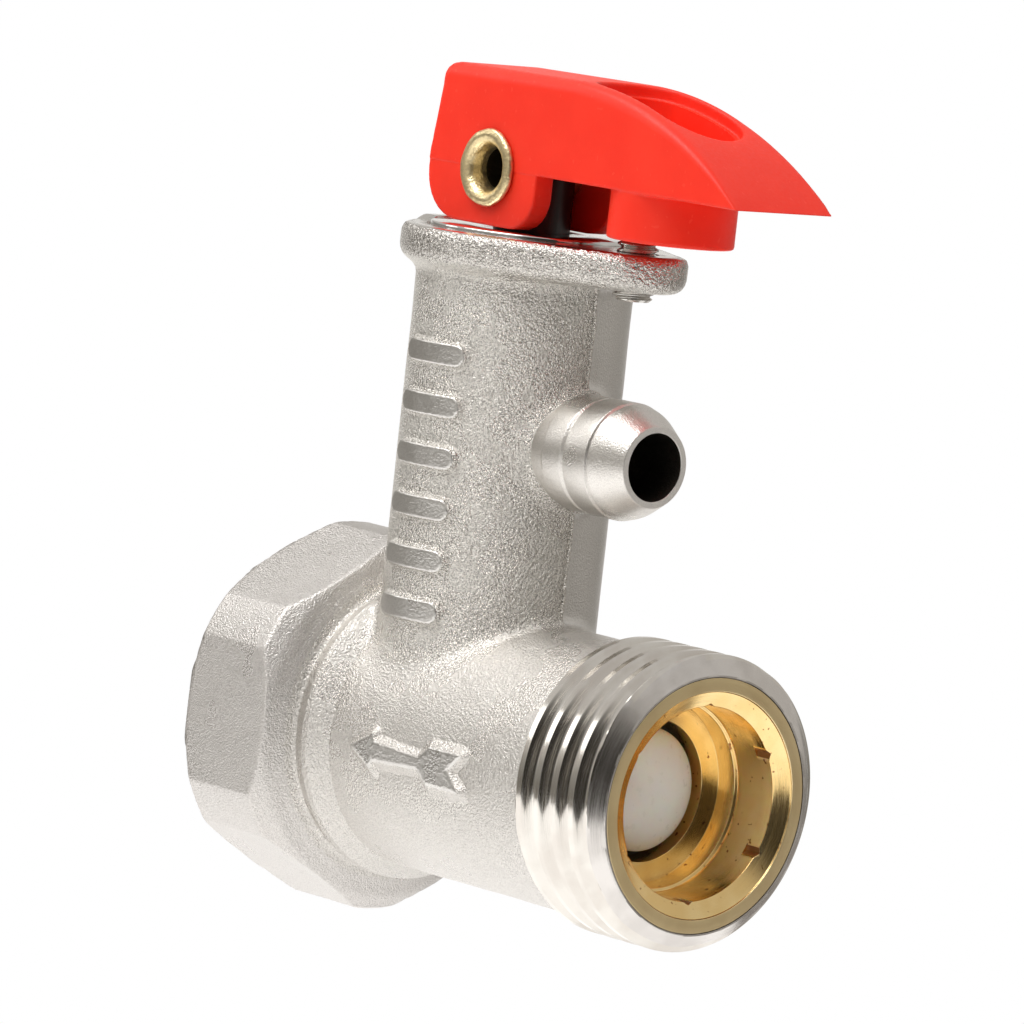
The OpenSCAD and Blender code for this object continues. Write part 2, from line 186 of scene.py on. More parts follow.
def contour(field, low, high, voxel):
    """Meshes the solid where field < 0, with crisp edges: each vertex sits where the tangent planes
    at its cell's crossings meet. Returns points, quads and a normal for every corner of every quad."""
    axes = [np.arange(a - voxel, b + 2 * voxel, voxel, dtype=np.float32) for a, b in zip(low, high)]
    values = field(*np.meshgrid(*axes, indexing="ij"))
    solid = values < 0
    cells = np.array(values.shape) - 1
    start = np.array([a[0] for a in axes], float)
    owners, hits, outward = [], [], []
    for d in range(3):
        first = np.take(solid, range(cells[d]), axis=d)
        edge = np.argwhere(first != np.take(solid, range(1, cells[d] + 1), axis=d))
        step = np.eye(3, dtype=int)[d]
        here, there = values[tuple(edge.T)].astype(float), values[tuple((edge + step).T)].astype(float)
        hit = start + voxel * (edge + (here / (here - there))[:, None] * step)
        for _ in range(2):
            hit[:, d] -= np.clip(field(*hit.T) * voxel / (there - here), -0.2 * voxel, 0.2 * voxel)
        back = np.zeros((4, 3), int)
        back[:, (d + 1) % 3] = (0, 1, 1, 0)
        back[:, (d + 2) % 3] = (0, 0, 1, 1)
        owners.append(np.ravel_multi_index((edge[:, None, :] - back).reshape(-1, 3).T, cells).reshape(-1, 4))
        hits.append(hit)
        outward.append(first[tuple(edge.T)])
    cell, owner = np.unique(np.concatenate(owners).ravel(), return_inverse=True)
    hits, outward = np.concatenate(hits), np.concatenate(outward)
    normals = unit(slope(field, hits))

    def pile(weights):
        return np.bincount(owner, weights, len(cell))

    plane, spot = np.repeat(normals, 4, 0), np.repeat(hits, 4, 0)
    count = pile(np.ones(len(owner)))
    centre = np.stack([pile(spot[:, i]) / count for i in range(3)], 1)
    gap = ((spot - centre[owner]) * plane).sum(1)
    square = np.stack([np.stack([pile(plane[:, i] * plane[:, j]) for j in range(3)], 1) for i in range(3)], 1)
    pull = np.stack([pile(plane[:, i] * gap) for i in range(3)], 1)
    strength, way = np.linalg.eigh(square)
    keep = np.where(strength > 0.08 * strength[:, 2:], 1 / np.maximum(strength, 1e-9), 0)
    shift = np.einsum("nij,nj,nkj,nk->ni", way, keep, way, pull)
    corner = start + voxel * np.stack(np.unravel_index(cell, cells), 1)
    points = np.clip(centre + shift, corner - 0.2 * voxel, corner + 1.2 * voxel)
    points = np.clip(points, low, high)
    quads = owner.reshape(-1, 4)
    quads = np.where(outward[:, None], quads, quads[:, ::-1])
    around = points[quads]
    inside = around + 0.35 * (around.mean(1, keepdims=True) - around)
    return points, quads, unit(slope(field, inside.reshape(-1, 3)))


# ---------------------------------------------------------------- mesh helpers
def mesh_piece(name, points, faces, body, node=None, normals=None):
    """A piece from points in millimetres, riding on a body and standing for a CAD node."""
    mesh = bpy.data.meshes.new(name)
    mesh.from_pydata((np.asarray(points) / MM).tolist(), [], [list(map(int, f)) for f in faces])
    piece = bpy.data.objects.new(name, mesh)
    bpy.context.scene.collection.objects.link(piece)
    mesh.shade_smooth()
    if normals is not None:
        mesh.normals_split_custom_set(normals.tolist())
    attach(piece, body)
    if node:
        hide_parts(node)
    return piece


def rounded(outline, radius, steps=3, closed=True):
    """The outline with each corner turned into a small curve."""
    points = [np.array(p[:2], float) for p in outline]
    out = []
    for i, p in enumerate(points):
        if not closed and i in (0, len(points) - 1):
            out.append(p)
            continue
        before, after = points[i - 1], points[(i + 1) % len(points)]
        reach = outline[i][2] if len(outline[i]) > 2 else radius
        back, ahead = before - p, after - p
        cut = min(reach, 0.45 * np.linalg.norm(back), 0.45 * np.linalg.norm(ahead))
        if cut < 1e-4:
            out.append(p)
            continue
        a = p + back / np.linalg.norm(back) * cut
        b = p + ahead / np.linalg.norm(ahead) * cut
        for t in np.linspace(0, 1, steps + 1):
            out.append((1 - t) ** 2 * a + 2 * t * (1 - t) * p + t * t * b)
    return np.array(out)


def place(along, u, v, axis, centre):
    """Points from a distance along an axis and two distances across it."""
    order = {"x": (along, u, v), "y": (v, along, u), "z": (u, v, along)}[axis]
    return np.stack(np.broadcast_arrays(*order), -1) + np.array(centre, float)


def revolve(outline, axis, centre=(0, 0, 0), segments=160, closed=True, shape=None):
    """Revolves [along, radius] points. An open outline starts and ends on the axis.
    The outline runs so that its outside is on its left when radius points up."""
    theta = np.arange(segments) * 2 * math.pi / segments
    along = np.repeat(outline[:, :1], segments, 1)
    radius = np.repeat(outline[:, 1:2], segments, 1)
    if shape:
        along, radius = shape(along, radius, theta[None, :])
    points = place(along, radius * np.cos(theta), radius * np.sin(theta), axis, centre).reshape(-1, 3)
    rows = len(outline)
    faces = []
    for i in range(rows if closed else rows - 1):
        a, b = i * segments, ((i + 1) % rows) * segments
        for j in range(segments):
            k = (j + 1) % segments
            faces.append((a + j, b + j, b + k, a + k))
    return points, faces


def smooth_welded(piece, sharp_deg, distance=1e-7):
    """Joins points that lie on each other, drops faces without area, turns normals outward and
    shades the piece smooth up to an angle."""
    bm = bmesh.new()
    bm.from_mesh(piece.data)
    bmesh.ops.remove_doubles(bm, verts=bm.verts, dist=distance)
    bmesh.ops.dissolve_degenerate(bm, edges=bm.edges, dist=distance)
    bmesh.ops.recalc_face_normals(bm, faces=bm.faces)
    bm.to_mesh(piece.data)
    bm.free()
    piece.data.shade_smooth()
    piece.data.set_sharp_from_angle(angle=math.radians(sharp_deg))


def lathe(name, outline, axis, body, slot, node=None, radius=0.06, closed=True, sharp_deg=40, **more):
    """A turned piece whose corners are slightly broken."""
    points, faces = revolve(rounded(outline, radius, closed=closed), axis, closed=closed, **more)
    piece = mesh_piece(name, points, faces, body, node)
    smooth_welded(piece, sharp_deg)
    return piece


def paint(piece, *materials, choose=None):
    """Gives a piece its materials. choose(face centres, normals in mm) gives each face's number."""
    piece.data.materials.clear()
    for m in materials:
        piece.data.materials.append(m)
    if choose:
        count = len(piece.data.polygons)
        centre, normal = np.zeros(count * 3, np.float32), np.zeros(count * 3, np.float32)
        piece.data.polygons.foreach_get("center", centre)
        piece.data.polygons.foreach_get("normal", normal)
        number = choose(centre.reshape(-1, 3).astype(float) * MM, normal.reshape(-1, 3).astype(float))
        piece.data.polygons.foreach_set("material_index", number.astype(np.int32))
    return piece


# ---------------------------------------------------------------- materials
def node(tree, kind, links=(), **settings):
    """Adds a shader node. links maps input names or numbers to sockets or values."""
    made = tree.nodes.new(kind)
    for key, value in settings.items():
        setattr(made, key, value)
    for key, value in dict(links).items():
        if isinstance(value, bpy.types.NodeSocket):
            tree.links.new(value, made.inputs[key])
        else:
            made.inputs[key].default_value = value
    return made


def principled(name, **values):
    """A material with one Principled BSDF; returns the material, its tree and the shader."""
    material = bpy.data.materials.new(name)
    material.use_nodes = True
    tree = material.node_tree
    shader = tree.nodes["Principled BSDF"]
    for key, value in values.items():
        shader.inputs[key.replace("_", " ")].default_value = value
    return material, tree, shader


def place_mm(tree):
    """The point's place in millimetres, in the piece's own frame."""
    coords = node(tree, "ShaderNodeTexCoord")
    return node(tree, "ShaderNodeVectorMath", {0: coords.outputs["Object"], "Scale": MM},
                operation="SCALE").outputs["Vector"]


def noise(tree, where, size, detail=2.0, roughness=0.5, distortion=0.0):
    """Noise whose cells are about size millimetres across."""
    return node(tree, "ShaderNodeTexNoise", {
        "Vector": where, "Scale": 1 / size, "Detail": detail, "Roughness": roughness,
        "Distortion": distortion}).outputs["Fac"]


def remap(tree, value, from_low, from_high, to_low, to_high, smooth=True):
    return node(tree, "ShaderNodeMapRange", {
        "Value": value, "From Min": from_low, "From Max": from_high, "To Min": to_low, "To Max": to_high},
        interpolation_type="SMOOTHSTEP" if smooth else "LINEAR").outputs["Result"]


def mixed(tree, fac, a, b):
    """Colour a where fac is 0 and b where it is 1."""
    return node(tree, "ShaderNodeMix", {0: fac, 6: (*a, 1), 7: (*b, 1)}, data_type="RGBA").outputs[2]


def bump(tree, height, depth, normal=None):
    """A bump of depth millimetres for a height between 0 and 1."""
    links = {"Height": height, "Distance": depth / MM, "Strength": 1.0}
    if normal:
        links["Normal"] = normal
    return node(tree, "ShaderNodeBump", links).outputs["Normal"]


def math_node(tree, operation, a, b=0.0):
    return node(tree, "ShaderNodeMath", {0: a, 1: b}, operation=operation).outputs[0]


def nickel(name, grain, depth, rough, tint=(0.76, 0.73, 0.69), fine_depth=0.5, dark=0.62):
    """Nickel plate over a blasted forging: pits about grain millimetres across and depth deep."""
    material, tree, shader = principled(name, Metallic=1.0)
    where = place_mm(tree)
    coarse = noise(tree, where, grain, detail=2.0, roughness=0.6)
    small = noise(tree, where, 0.45 * grain, detail=2.0, roughness=0.6)
    patches = noise(tree, where, 4.0, detail=2.0)
    shade = mixed(tree, remap(tree, small, 0.34, 0.56, 0, 1), [dark * c for c in tint], tint)
    tree.links.new(shade, shader.inputs["Base Color"])
    tree.links.new(remap(tree, patches, 0.3, 0.7, rough - 0.03, rough + 0.04), shader.inputs["Roughness"])
    relief = bump(tree, remap(tree, coarse, 0.3, 0.7, 0, 1), depth)
    tree.links.new(bump(tree, small, fine_depth * depth, relief), shader.inputs["Normal"])
    return material


def turned_metal(name, light, dark, rough, depth, axis, centre, stain=None):
    """Metal with fine turning marks round an axis, and a few stains if asked."""
    material, tree, shader = principled(name, Metallic=1.0)
    where = place_mm(tree)
    moved = node(tree, "ShaderNodeVectorMath", {0: where, 1: [-c for c in centre]}, operation="ADD")
    split = node(tree, "ShaderNodeSeparateXYZ", {0: moved.outputs[0]}).outputs
    along = split["XYZ".index(axis.upper())]
    across = [s for i, s in enumerate(split) if i != "XYZ".index(axis.upper())]
    radius = math_node(tree, "SQRT", math_node(
        tree, "ADD", math_node(tree, "POWER", across[0], 2.0), math_node(tree, "POWER", across[1], 2.0)))
    lane = node(tree, "ShaderNodeCombineXYZ", {0: math_node(tree, "MULTIPLY", radius, 14.0),
                                              1: math_node(tree, "MULTIPLY", along, 14.0), 2: 0.0})
    lines = noise(tree, lane.outputs[0], 1.0)
    cloud = noise(tree, where, 2.5, detail=3.0)
    colour = mixed(tree, remap(tree, cloud, 0.35, 0.65, 0, 1), dark, light)
    if stain:
        spots = remap(tree, noise(tree, where, 0.42, detail=1.0), 0.70, 0.76, 0, 1)
        colour = node(tree, "ShaderNodeMix", {0: spots, 6: colour, 7: (*stain, 1)}, data_type="RGBA").outputs[2]
    tree.links.new(colour, shader.inputs["Base Color"])
    tree.links.new(remap(tree, lines, 0.3, 0.7, rough - 0.04, rough + 0.06), shader.inputs["Roughness"])
    tree.links.new(bump(tree, lines, depth), shader.inputs["Normal"])
    return material


def plastic(name, colour, shade, rough, depth, grain, speck=None, **values):
    """Moulded plastic: a faint texture, slightly uneven colour and a few pale specks."""
    material, tree, shader = principled(name, **values)
    where = place_mm(tree)
    cloud = noise(tree, where, 3.0, detail=3.0)
    tone = mixed(tree, remap(tree, cloud, 0.3, 0.7, 0, 1), shade, colour)
    if speck:
        specks = remap(tree, noise(tree, where, 0.35, detail=0.0), 0.76, 0.82, 0, 0.6)
        tone = node(tree, "ShaderNodeMix", {0: specks, 6: tone, 7: (*speck, 1)}, data_type="RGBA").outputs[2]
    tree.links.new(tone, shader.inputs["Base Color"])
    texture = noise(tree, where, grain, detail=2.0)
    tree.links.new(remap(tree, texture, 0.3, 0.7, rough - 0.05, rough + 0.05), shader.inputs["Roughness"])
    tree.links.new(bump(tree, texture, depth), shader.inputs["Normal"])
    return material


forged_branch = nickel("nickel_forged_branch", 0.20, 0.078, 0.26, tint=(0.78, 0.75, 0.70), dark=0.5)
forged_smooth = nickel("nickel_forged_smooth", 0.14, 0.016, 0.34, tint=(0.70, 0.68, 0.65), dark=0.8)
forged_flange = nickel("nickel_forged_flange", 0.25, 0.066, 0.22, tint=(0.68, 0.65, 0.61), dark=0.55)
forged_run = nickel("nickel_forged_run", 0.17, 0.045, 0.28, tint=(0.72, 0.69, 0.65), dark=0.68)
forged_hexagon = nickel("nickel_hexagon", 0.14, 0.030, 0.30, tint=(0.70, 0.67, 0.64), dark=0.68)
mark_top = nickel("nickel_mark_top", 0.20, 0.014, 0.30, tint=(0.68, 0.66, 0.63), dark=0.85)
thread_crest = nickel("nickel_thread_crest", 0.15, 0.048, 0.46, tint=(0.92, 0.90, 0.87), dark=0.7)
nozzle_skin = nickel("nickel_nozzle", 0.13, 0.012, 0.30, dark=0.80)
nozzle_lip = nickel("nickel_nozzle_lip", 0.15, 0.008, 0.50, tint=(0.84, 0.82, 0.79), dark=0.9)
# Near-black nickel for the bores and the chamber: painted shade inside the hollows.
inside_painted_shade = nickel("nickel_inside", 0.20, 0.010, 0.40, tint=(0.16, 0.14, 0.12), dark=0.8)
thread_groove = turned_metal("nickel_thread_groove", (0.74, 0.71, 0.66), (0.66, 0.62, 0.57), 0.13, 0.003,
                             "x", (0, 0, 0))
turned_end = turned_metal("nickel_turned_end", (0.72, 0.69, 0.66), (0.62, 0.59, 0.56), 0.20, 0.005,
                          "x", (0, 0, 0))
flange_top = turned_metal("nickel_flange_top", (0.72, 0.70, 0.67), (0.66, 0.64, 0.61), 0.14, 0.003,
                          "z", (BRANCH_X, 0, 0))
insert_brass = turned_metal("brass_insert", (0.90, 0.68, 0.33), (0.84, 0.60, 0.26), 0.17, 0.006,
                            "x", (0, 0, 0), stain=(0.32, 0.14, 0.05))
insert_ring = turned_metal("brass_insert_ring", (0.82, 0.66, 0.38), (0.75, 0.59, 0.33), 0.34, 0.008,
                           "x", (0, 0, 0))
# Dark brown brass for the socket's corner walls: painted shade in the recesses.
notch_painted_shade = turned_metal("brass_insert_notch", (0.42, 0.22, 0.10), (0.36, 0.17, 0.07), 0.45, 0.006,
                            "x", (0, 0, 0))
inner_brass = turned_metal("brass_inner", (0.80, 0.60, 0.28), (0.72, 0.52, 0.24), 0.26, 0.005,
                           "z", (BRANCH_X, 0, 0))
eyelet_brass = nickel("brass_eyelet", 0.35, 0.020, 0.36, tint=(0.78, 0.64, 0.37), dark=0.85)
# Near-black brass for the eyelet's bore: painted shade inside the hole.
bore_painted_shade = nickel("brass_eyelet_bore", 0.35, 0.010, 0.50, tint=(0.06, 0.045, 0.025), dark=0.85)
mirror_steel = turned_metal("steel_polished", (0.72, 0.71, 0.70), (0.68, 0.67, 0.66), 0.07, 0.0008,
                            "z", (BRANCH_X, 0, 0))
screw_steel = turned_metal("steel_screw", (0.66, 0.64, 0.61), (0.60, 0.58, 0.55), 0.2, 0.002,
                           "z", (SCREW_X, 0, 0))
wire_steel = turned_metal("steel_wire", (0.60, 0.60, 0.60), (0.50, 0.50, 0.50), 0.25, 0.003,
                          "z", (BRANCH_X, 0, 0))
red_plastic = plastic("plastic_red", (0.97, 0.038, 0.016), (0.93, 0.032, 0.013), 0.42, 0.004, 0.25,
                      speck=(1.0, 0.07, 0.04), Subsurface_Weight=0.25, Subsurface_Scale=0.0012,
                      Specular_IOR_Level=0.28)
white_plastic = plastic("plastic_white", (0.93, 0.91, 0.88), (0.88, 0.86, 0.83), 0.32, 0.003, 0.6,
                        Subsurface_Weight=0.5, Subsurface_Scale=0.0015)
black_plastic = plastic("plastic_black", (0.014, 0.013, 0.013), (0.010, 0.010, 0.010), 0.35, 0.004, 0.3)
black_rubber = plastic("rubber_black", (0.022, 0.022, 0.022), (0.015, 0.015, 0.015), 0.6, 0.006, 0.2)

SLOT_MATERIAL = {
    "nickel_plated_brass": turned_end, "turned_brass": inner_brass, "eyelet_brass": eyelet_brass,
    "spring_steel": wire_steel, "polished_steel": mirror_steel, "black_rubber": black_rubber,
    "red_plastic": red_plastic, "white_plastic": white_plastic, "black_plastic": black_plastic,
}
for row in frame["record"]["subparts"]:
    paint(frame["nodes"][row["node"]], SLOT_MATERIAL[row["material_slot"]])


# ---------------------------------------------------------------- the forged body
HEX_REAR_R = 12.55
NECK = [
    (0.5, -5), (0.5, 11), (9.3, 11.3), (9.62, 10.55), (9.95, 10.42), (10.4, 10.55), (11.0, 10.75), (11.5, 10.7),
    (12.0, 10.3), (12.8, BARREL_R), (SLEEVE_X + 0.3, BARREL_R), (SLEEVE_X + 0.3, -5)]
ARROW = [
    (-1.54, 0), (0.55, 1.14), (0.8, 0.63), (5.8, 0.37), (6.9, 1.25), (10.2, 1.25), (8.87, 0),
    (10.2, -1.25), (6.9, -1.25), (5.8, -0.37), (0.8, -0.63), (0.55, -1.14)]
ARROW_Z = -0.3
BAR_HALF_LEN, BAR_HALF_H, BAR_PROUD = 3.0, 0.7, 0.35
BAR_FIRST_Z, BAR_STEP, BARS = 9.7, 3.6, 6


def uneven(x, y, z):
    """The forging's slow unevenness, always below its nominal surface."""
    return 0.02 * (1 + waves(x, y, z, 5.0))


def hexagon_field(x, y, z, run):
    side = hexagon_2d(z, y, HEX_APOTHEM - HEX_EDGE_R) - HEX_EDGE_R
    side = smooth_max(side, run - HEX_TURNED_R, 0.06)
    rear = np.maximum(-x, (run - HEX_REAR_R - x) / math.sqrt(2))
    front = smooth_max((x + 0.9 * run - 20.15) / 1.345, (1.2 * x + 0.55 * run - 17.555) / 1.32, 0.12)
    return smooth_max(smooth_max(side, rear, 0.12), front, 0.12)


def branch_field(x, y, z, up):
    """The upright post, whose die halves meet in a small step, and the nozzle's stub."""
    step = DIE_STEP * np.clip(y / 0.25, 0, 1)
    post = np.maximum(up - BRANCH_R + step, np.maximum(-z, z - FLANGE_Z + 1))
    stub = np.maximum(np.hypot(y, z - NOZZLE_Z) - 4.0, np.maximum(BRANCH_X - x, x - BRANCH_X - 9.0))
    return smooth_min(post, stub, 1.1)


def flange_field(x, y, z):
    """Flange with a rounded rim round the wear plate, and a higher lip at the rear."""
    plan = capsule_2d(x - BRANCH_X, y, FLANGE_R, EAR_R, SCREW_X - BRANCH_X)
    rear = np.clip((BRANCH_X - x - LIP_START) / 0.7, 0, 1) * np.clip((LIP_HALF - np.abs(y)) / 1.1, 0, 1)
    lower = smooth_max(plan, FLANGE_Z - FLANGE_T - z, 1.3)
    return smooth_max(lower, z - RIM_Z - (LIP_Z - RIM_Z) * rear, 0.8)


def hollow_field(x, y, z, run, up):
    """Everything that is drilled, turned or tapped out of the forging."""
    pocket = np.maximum(run - THREAD_R - 0.12, x - 9.2)
    passage = np.maximum(run - PASSAGE_R, x - CHECK_X - 1)
    check = np.maximum(run - CHECK_R, CHECK_X - x)
    lip = np.maximum(up - 3.5, z - CHAMBER_Z - 1)
    chamber = np.maximum(np.maximum(up - CHAMBER_R, CHAMBER_Z - z), -lip)
    port = np.maximum(up - 2.5, np.maximum(-z, z - CHAMBER_Z - 2))
    drain = np.maximum(np.hypot(y, z - NOZZLE_Z) - NOZZLE_BORE_R - BORE_GAP, BRANCH_X + 5 - x)
    screw = np.maximum(np.hypot(x - SCREW_X, y) - 1.5, FLANGE_Z - 5 - z)
    seat = np.maximum(up - PLATE_SEAT_R, FLANGE_Z - z)
    hollow = passage
    for cut in (pocket, check, chamber, port, drain, screw, seat):
        hollow = np.minimum(hollow, cut)
    return hollow


def body_field(x, y, z):
    run, up = np.hypot(y, z), np.hypot(x - BRANCH_X, y)
    barrel = polygon_2d(x, run, NECK)
    solid = smooth_min(hexagon_field(x, y, z, run), barrel, 0.3)
    solid = smooth_min(solid, branch_field(x, y, z, up), 1.0)
    solid = smooth_min(solid, flange_field(x, y, z), 1.1)
    solid = solid + uneven(x, y, z)
    solid = np.maximum(solid, np.maximum(-x, z - LIP_Z))
    return smooth_max(solid, -hollow_field(x, y, z, run, up), 0.1)


def body_region(centre, normal):
    """0 run, 1 branch, 2 hexagon, 3 turned, 4 flange top, 5 the branch's smoother half, 6 flange rim,
    7 inside, painted near black as shade."""
    x, y, z = centre.T
    run, up = np.hypot(y, z), np.hypot(x - BRANCH_X, y)
    number = np.zeros(len(x))
    on_branch = (branch_field(x, y, z, up) < polygon_2d(x, run, NECK)) & (x > 9)
    number[on_branch | (z > FLANGE_Z - 4)] = 1
    number[on_branch & (y > 0.1) & (up < BRANCH_R + 0.1)] = 5
    number[(x < 9.55) & (z < 15)] = 2
    number[np.abs(hollow_field(x, y, z, run, up)) < 0.1] = 3
    number[(x < 0.1) & (run < HEX_REAR_R - 0.2)] = 3
    number[(z > FLANGE_Z - FLANGE_T + 0.5) & (up > PLATE_SEAT_R + 0.1)] = 6
    number[(z > FLANGE_Z - 0.1) & (normal[:, 2] > 0.9)] = 4
    # The chamber's inner walls take the near-black nickel, which is painted shade.
    number[(np.abs(hollow_field(x, y, z, run, up)) < 0.1) & (z > CHAMBER_Z) & (z < FLANGE_Z - 0.2)] = 7
    return number


points, faces, normals = contour(
    body_field, (0, -HEX_APOTHEM, body_low[2]), (SCREW_X + EAR_R + 1.5, HEX_APOTHEM, LIP_Z), 0.33)
forging = mesh_piece(
    "body_forging", points, faces, "valve", "valve_body", normals=normals)
paint(forging, forged_run, forged_branch, forged_hexagon, turned_end, flange_top, forged_smooth,
      forged_flange, inside_painted_shade, choose=body_region)


# ---------------------------------------------------------------- forged marks, each a skin over the body
SKIN = 0.035


def arrow_field(x, y, z):
    """Flow arrow on the barrel's -Y side, flat on top with sloping flanks."""
    ground = np.hypot(y, z) - BARREL_R + uneven(x, y, z) + SKIN
    plan = polygon_2d(x - BRANCH_X, z - ARROW_Z, ARROW) - 0.06
    raised = smooth_max((plan - ARROW_FLANK * (ARROW_TOP + y)) / 1.49, -y - ARROW_TOP, 0.16)
    skin = smooth_min(ground, np.maximum(raised, y + 9.0), 0.14)
    return np.maximum(skin, np.maximum(plan - 0.85, y + 8.9))


def bars_field(x, y, z):
    """Plain raised bars up the branch's -Y side."""
    up = np.hypot(x - BRANCH_X, y)
    ground = up - BRANCH_R + uneven(x, y, z) + SKIN
    turn = np.round(np.clip((z - BAR_FIRST_Z) / BAR_STEP, 0, BARS - 1))
    height = z - BAR_FIRST_Z - BAR_STEP * turn
    plan = np.hypot(np.maximum(np.abs(x - BRANCH_X) - BAR_HALF_LEN + BAR_HALF_H, 0), height) - BAR_HALF_H
    proud = up - BRANCH_R - BAR_PROUD
    raised = smooth_max((plan + 0.8 * proud) / 1.28, proud, 0.08)
    skin = smooth_min(ground, np.maximum(raised, BRANCH_R - 0.6 - up), 0.14)
    return np.maximum(skin, np.maximum(plan - 0.75, np.maximum(y, BRANCH_R - 0.8 - up)))


def seam_field(x, y, z):
    """Flash line where the die halves met, on the branch's +X side."""
    up = np.hypot(x - BRANCH_X, y)
    ground = up - BRANCH_R + DIE_STEP * np.clip(y / 0.25, 0, 1) + uneven(x, y, z) + SKIN
    line = 0.05 * np.sin(0.9 * z) + 0.03 * np.sin(2.3 * z)
    ridge = smooth_max(np.abs(y - line) - 0.1, up - BRANCH_R - 0.11 - 0.03 * np.sin(1.7 * z), 0.08)
    skin = smooth_min(ground, np.maximum(ridge, BRANCH_R - 0.6 - up), 0.12)
    return np.maximum(skin, np.maximum(np.abs(y) - 0.8, np.maximum(BRANCH_X - x, BRANCH_R - 0.8 - up)))


def mark(name, field, low, high, material, top_material, is_top):
    def closed(x, y, z):
        outside = [f(a, b) for a, b_low, b_high in zip((x, y, z), low, high)
                   for f, b in ((lambda p, q: q - p, b_low), (lambda p, q: p - q, b_high))]
        return np.maximum(field(x, y, z), np.maximum.reduce(outside))

    points, faces, normals = contour(closed, low, high, 0.1)
    piece = mesh_piece(name, points, faces, "valve", "valve_body", normals=normals)
    return paint(piece, material, top_material, choose=is_top)


mark("flow_arrow", arrow_field, (BRANCH_X - 3, -ARROW_TOP, ARROW_Z - 2.5),
     (BRANCH_X + 11.5, -8.9, ARROW_Z + 2.5),
     forged_run, mark_top, lambda c, n: c[:, 1] < 0.06 - ARROW_TOP)
mark("branch_bars", bars_field, (BRANCH_X - BAR_HALF_LEN - 1, -BRANCH_R - BAR_PROUD, BAR_FIRST_Z - 2),
     (BRANCH_X + BAR_HALF_LEN + 1, -5.5, BAR_FIRST_Z + BAR_STEP * (BARS - 1) + 2), forged_branch, mark_top,
     lambda c, n: np.hypot(c[:, 0] - BRANCH_X, c[:, 1]) > BRANCH_R + BAR_PROUD - 0.05)
mark("die_seam", seam_field, (BRANCH_X + BRANCH_R - 0.9, -0.8, 8.5),
     (BRANCH_X + BRANCH_R + 0.3, 0.8, FLANGE_Z - 2),
     forged_branch, forged_smooth, lambda c, n: c[:, 1] > 0.12)


# ---------------------------------------------------------------- threads
def thread_depth(offset, pitch, land, depth):
    """Depth below the crest at a distance from the crest's middle."""
    t = np.clip((np.abs(offset) - land) / (pitch / 2 - land), 0, 1)
    return depth * np.sin(t * math.pi / 2)


def helix_sleeve(pitch, crest_x, low, high, limit, wall, land, depth, sign,
                 segments=192, samples=9, bevel=0.04):
    """A threaded skin whose rows follow the helix, closed by a plain wall.
    limit(x) caps the radius, sign is +1 for an outside thread and -1 for an inside one."""
    half = np.concatenate([[0, land - bevel, land], land + (pitch / 2 - land) * np.linspace(0, 1, samples)[1:]])
    offsets = np.concatenate([-half[:0:-1], half[:-1]])
    turns = np.arange(math.floor((low - crest_x) / pitch) - 1, math.ceil((high - crest_x) / pitch) + 2)
    line = np.concatenate([offsets + turn * pitch for turn in turns])
    below = np.tile(thread_depth(offsets, pitch, land, depth), len(turns))
    below = below + np.where(np.abs(np.tile(offsets, len(turns))) > land - 1e-6, bevel * 0.5, 0)
    theta = np.arange(segments + 1) * 2 * math.pi / segments
    x = np.clip(crest_x + line[:, None] + pitch * (theta / (2 * math.pi) - 0.5), low, high)
    r = limit(x, below[:, None] * np.ones_like(theta))
    angle = theta - math.pi / 2
    points = [np.stack([x, r * np.cos(angle), r * np.sin(angle)], -1)[:, :segments].reshape(-1, 3)]
    rows, per_turn = len(line), len(offsets)
    faces = []
    for i in range(rows - 1):
        for j in range(segments):
            k, jump = (j + 1, 0) if j + 1 < segments else (0, per_turn)
            if i + 1 + jump < rows:
                quad = (i * segments + j, (i + jump) * segments + k,
                        (i + 1 + jump) * segments + k, (i + 1) * segments + j)
                faces.append(quad[::sign])
    ends = []
    count = rows * segments
    for wall_x, wall_r in wall:
        points.append(np.stack([
            np.full(segments, wall_x), wall_r * np.cos(angle[:-1]), wall_r * np.sin(angle[:-1])], -1))
        ends.append(count)
        count += segments
    first, last = 0, (rows - per_turn - 1) * segments
    chain = [last] + ends + [first]
    for a, b in zip(chain, chain[1:]):
        for j in range(segments):
            k = (j + 1) % segments
            faces.append((a + j, a + k, b + k, b + j)[::sign])
    return np.concatenate(points), faces


CREST_X = 33.9
END_CONE_X = RUN_LEN - 0.72
INSERT_R = insert_high[2]


def male_limit(x, below):
    r = THREAD_R - below
    r = np.minimum(r, BARREL_R - 0.03 + 1.7 * np.maximum(x - SLEEVE_X - 0.12, 0))
    r = np.minimum(r, THREAD_R - 0.1 - 1.9 * np.maximum(x - END_CONE_X, 0))
    return np.where(x >= RUN_LEN - 1e-6, 9.02, np.where(x <= SLEEVE_X + 1e-6, BARREL_R - 0.03, r))


points, faces = helix_sleeve(
    PITCH, CREST_X, SLEEVE_X, RUN_LEN, male_limit,
    [(RUN_LEN, INSERT_R + 0.05), (RUN_LEN - 1.2, INSERT_R + 0.05), (RUN_LEN - 1.2, CHECK_R + 0.02),
     (SLEEVE_X, CHECK_R + 0.02)],
    land=0.24, depth=0.85, sign=1)
inlet_thread = mesh_piece("inlet_thread", points, faces, "valve", "valve_body")
smooth_welded(inlet_thread, 30)


def thread_region(centre, normal):
    """0 groove, 1 crest land, 2 end faces."""
    x, y, z = centre.T
    run = np.hypot(y, z)
    number = np.where((run > THREAD_R - 0.05) & (x < END_CONE_X), 1, 0)
    number[(x > END_CONE_X + 0.1) & (run > INSERT_R - 0.1) & (normal[:, 0] > 0.3)] = 2
    return number


paint(inlet_thread, thread_groove, thread_crest, turned_end, choose=thread_region)


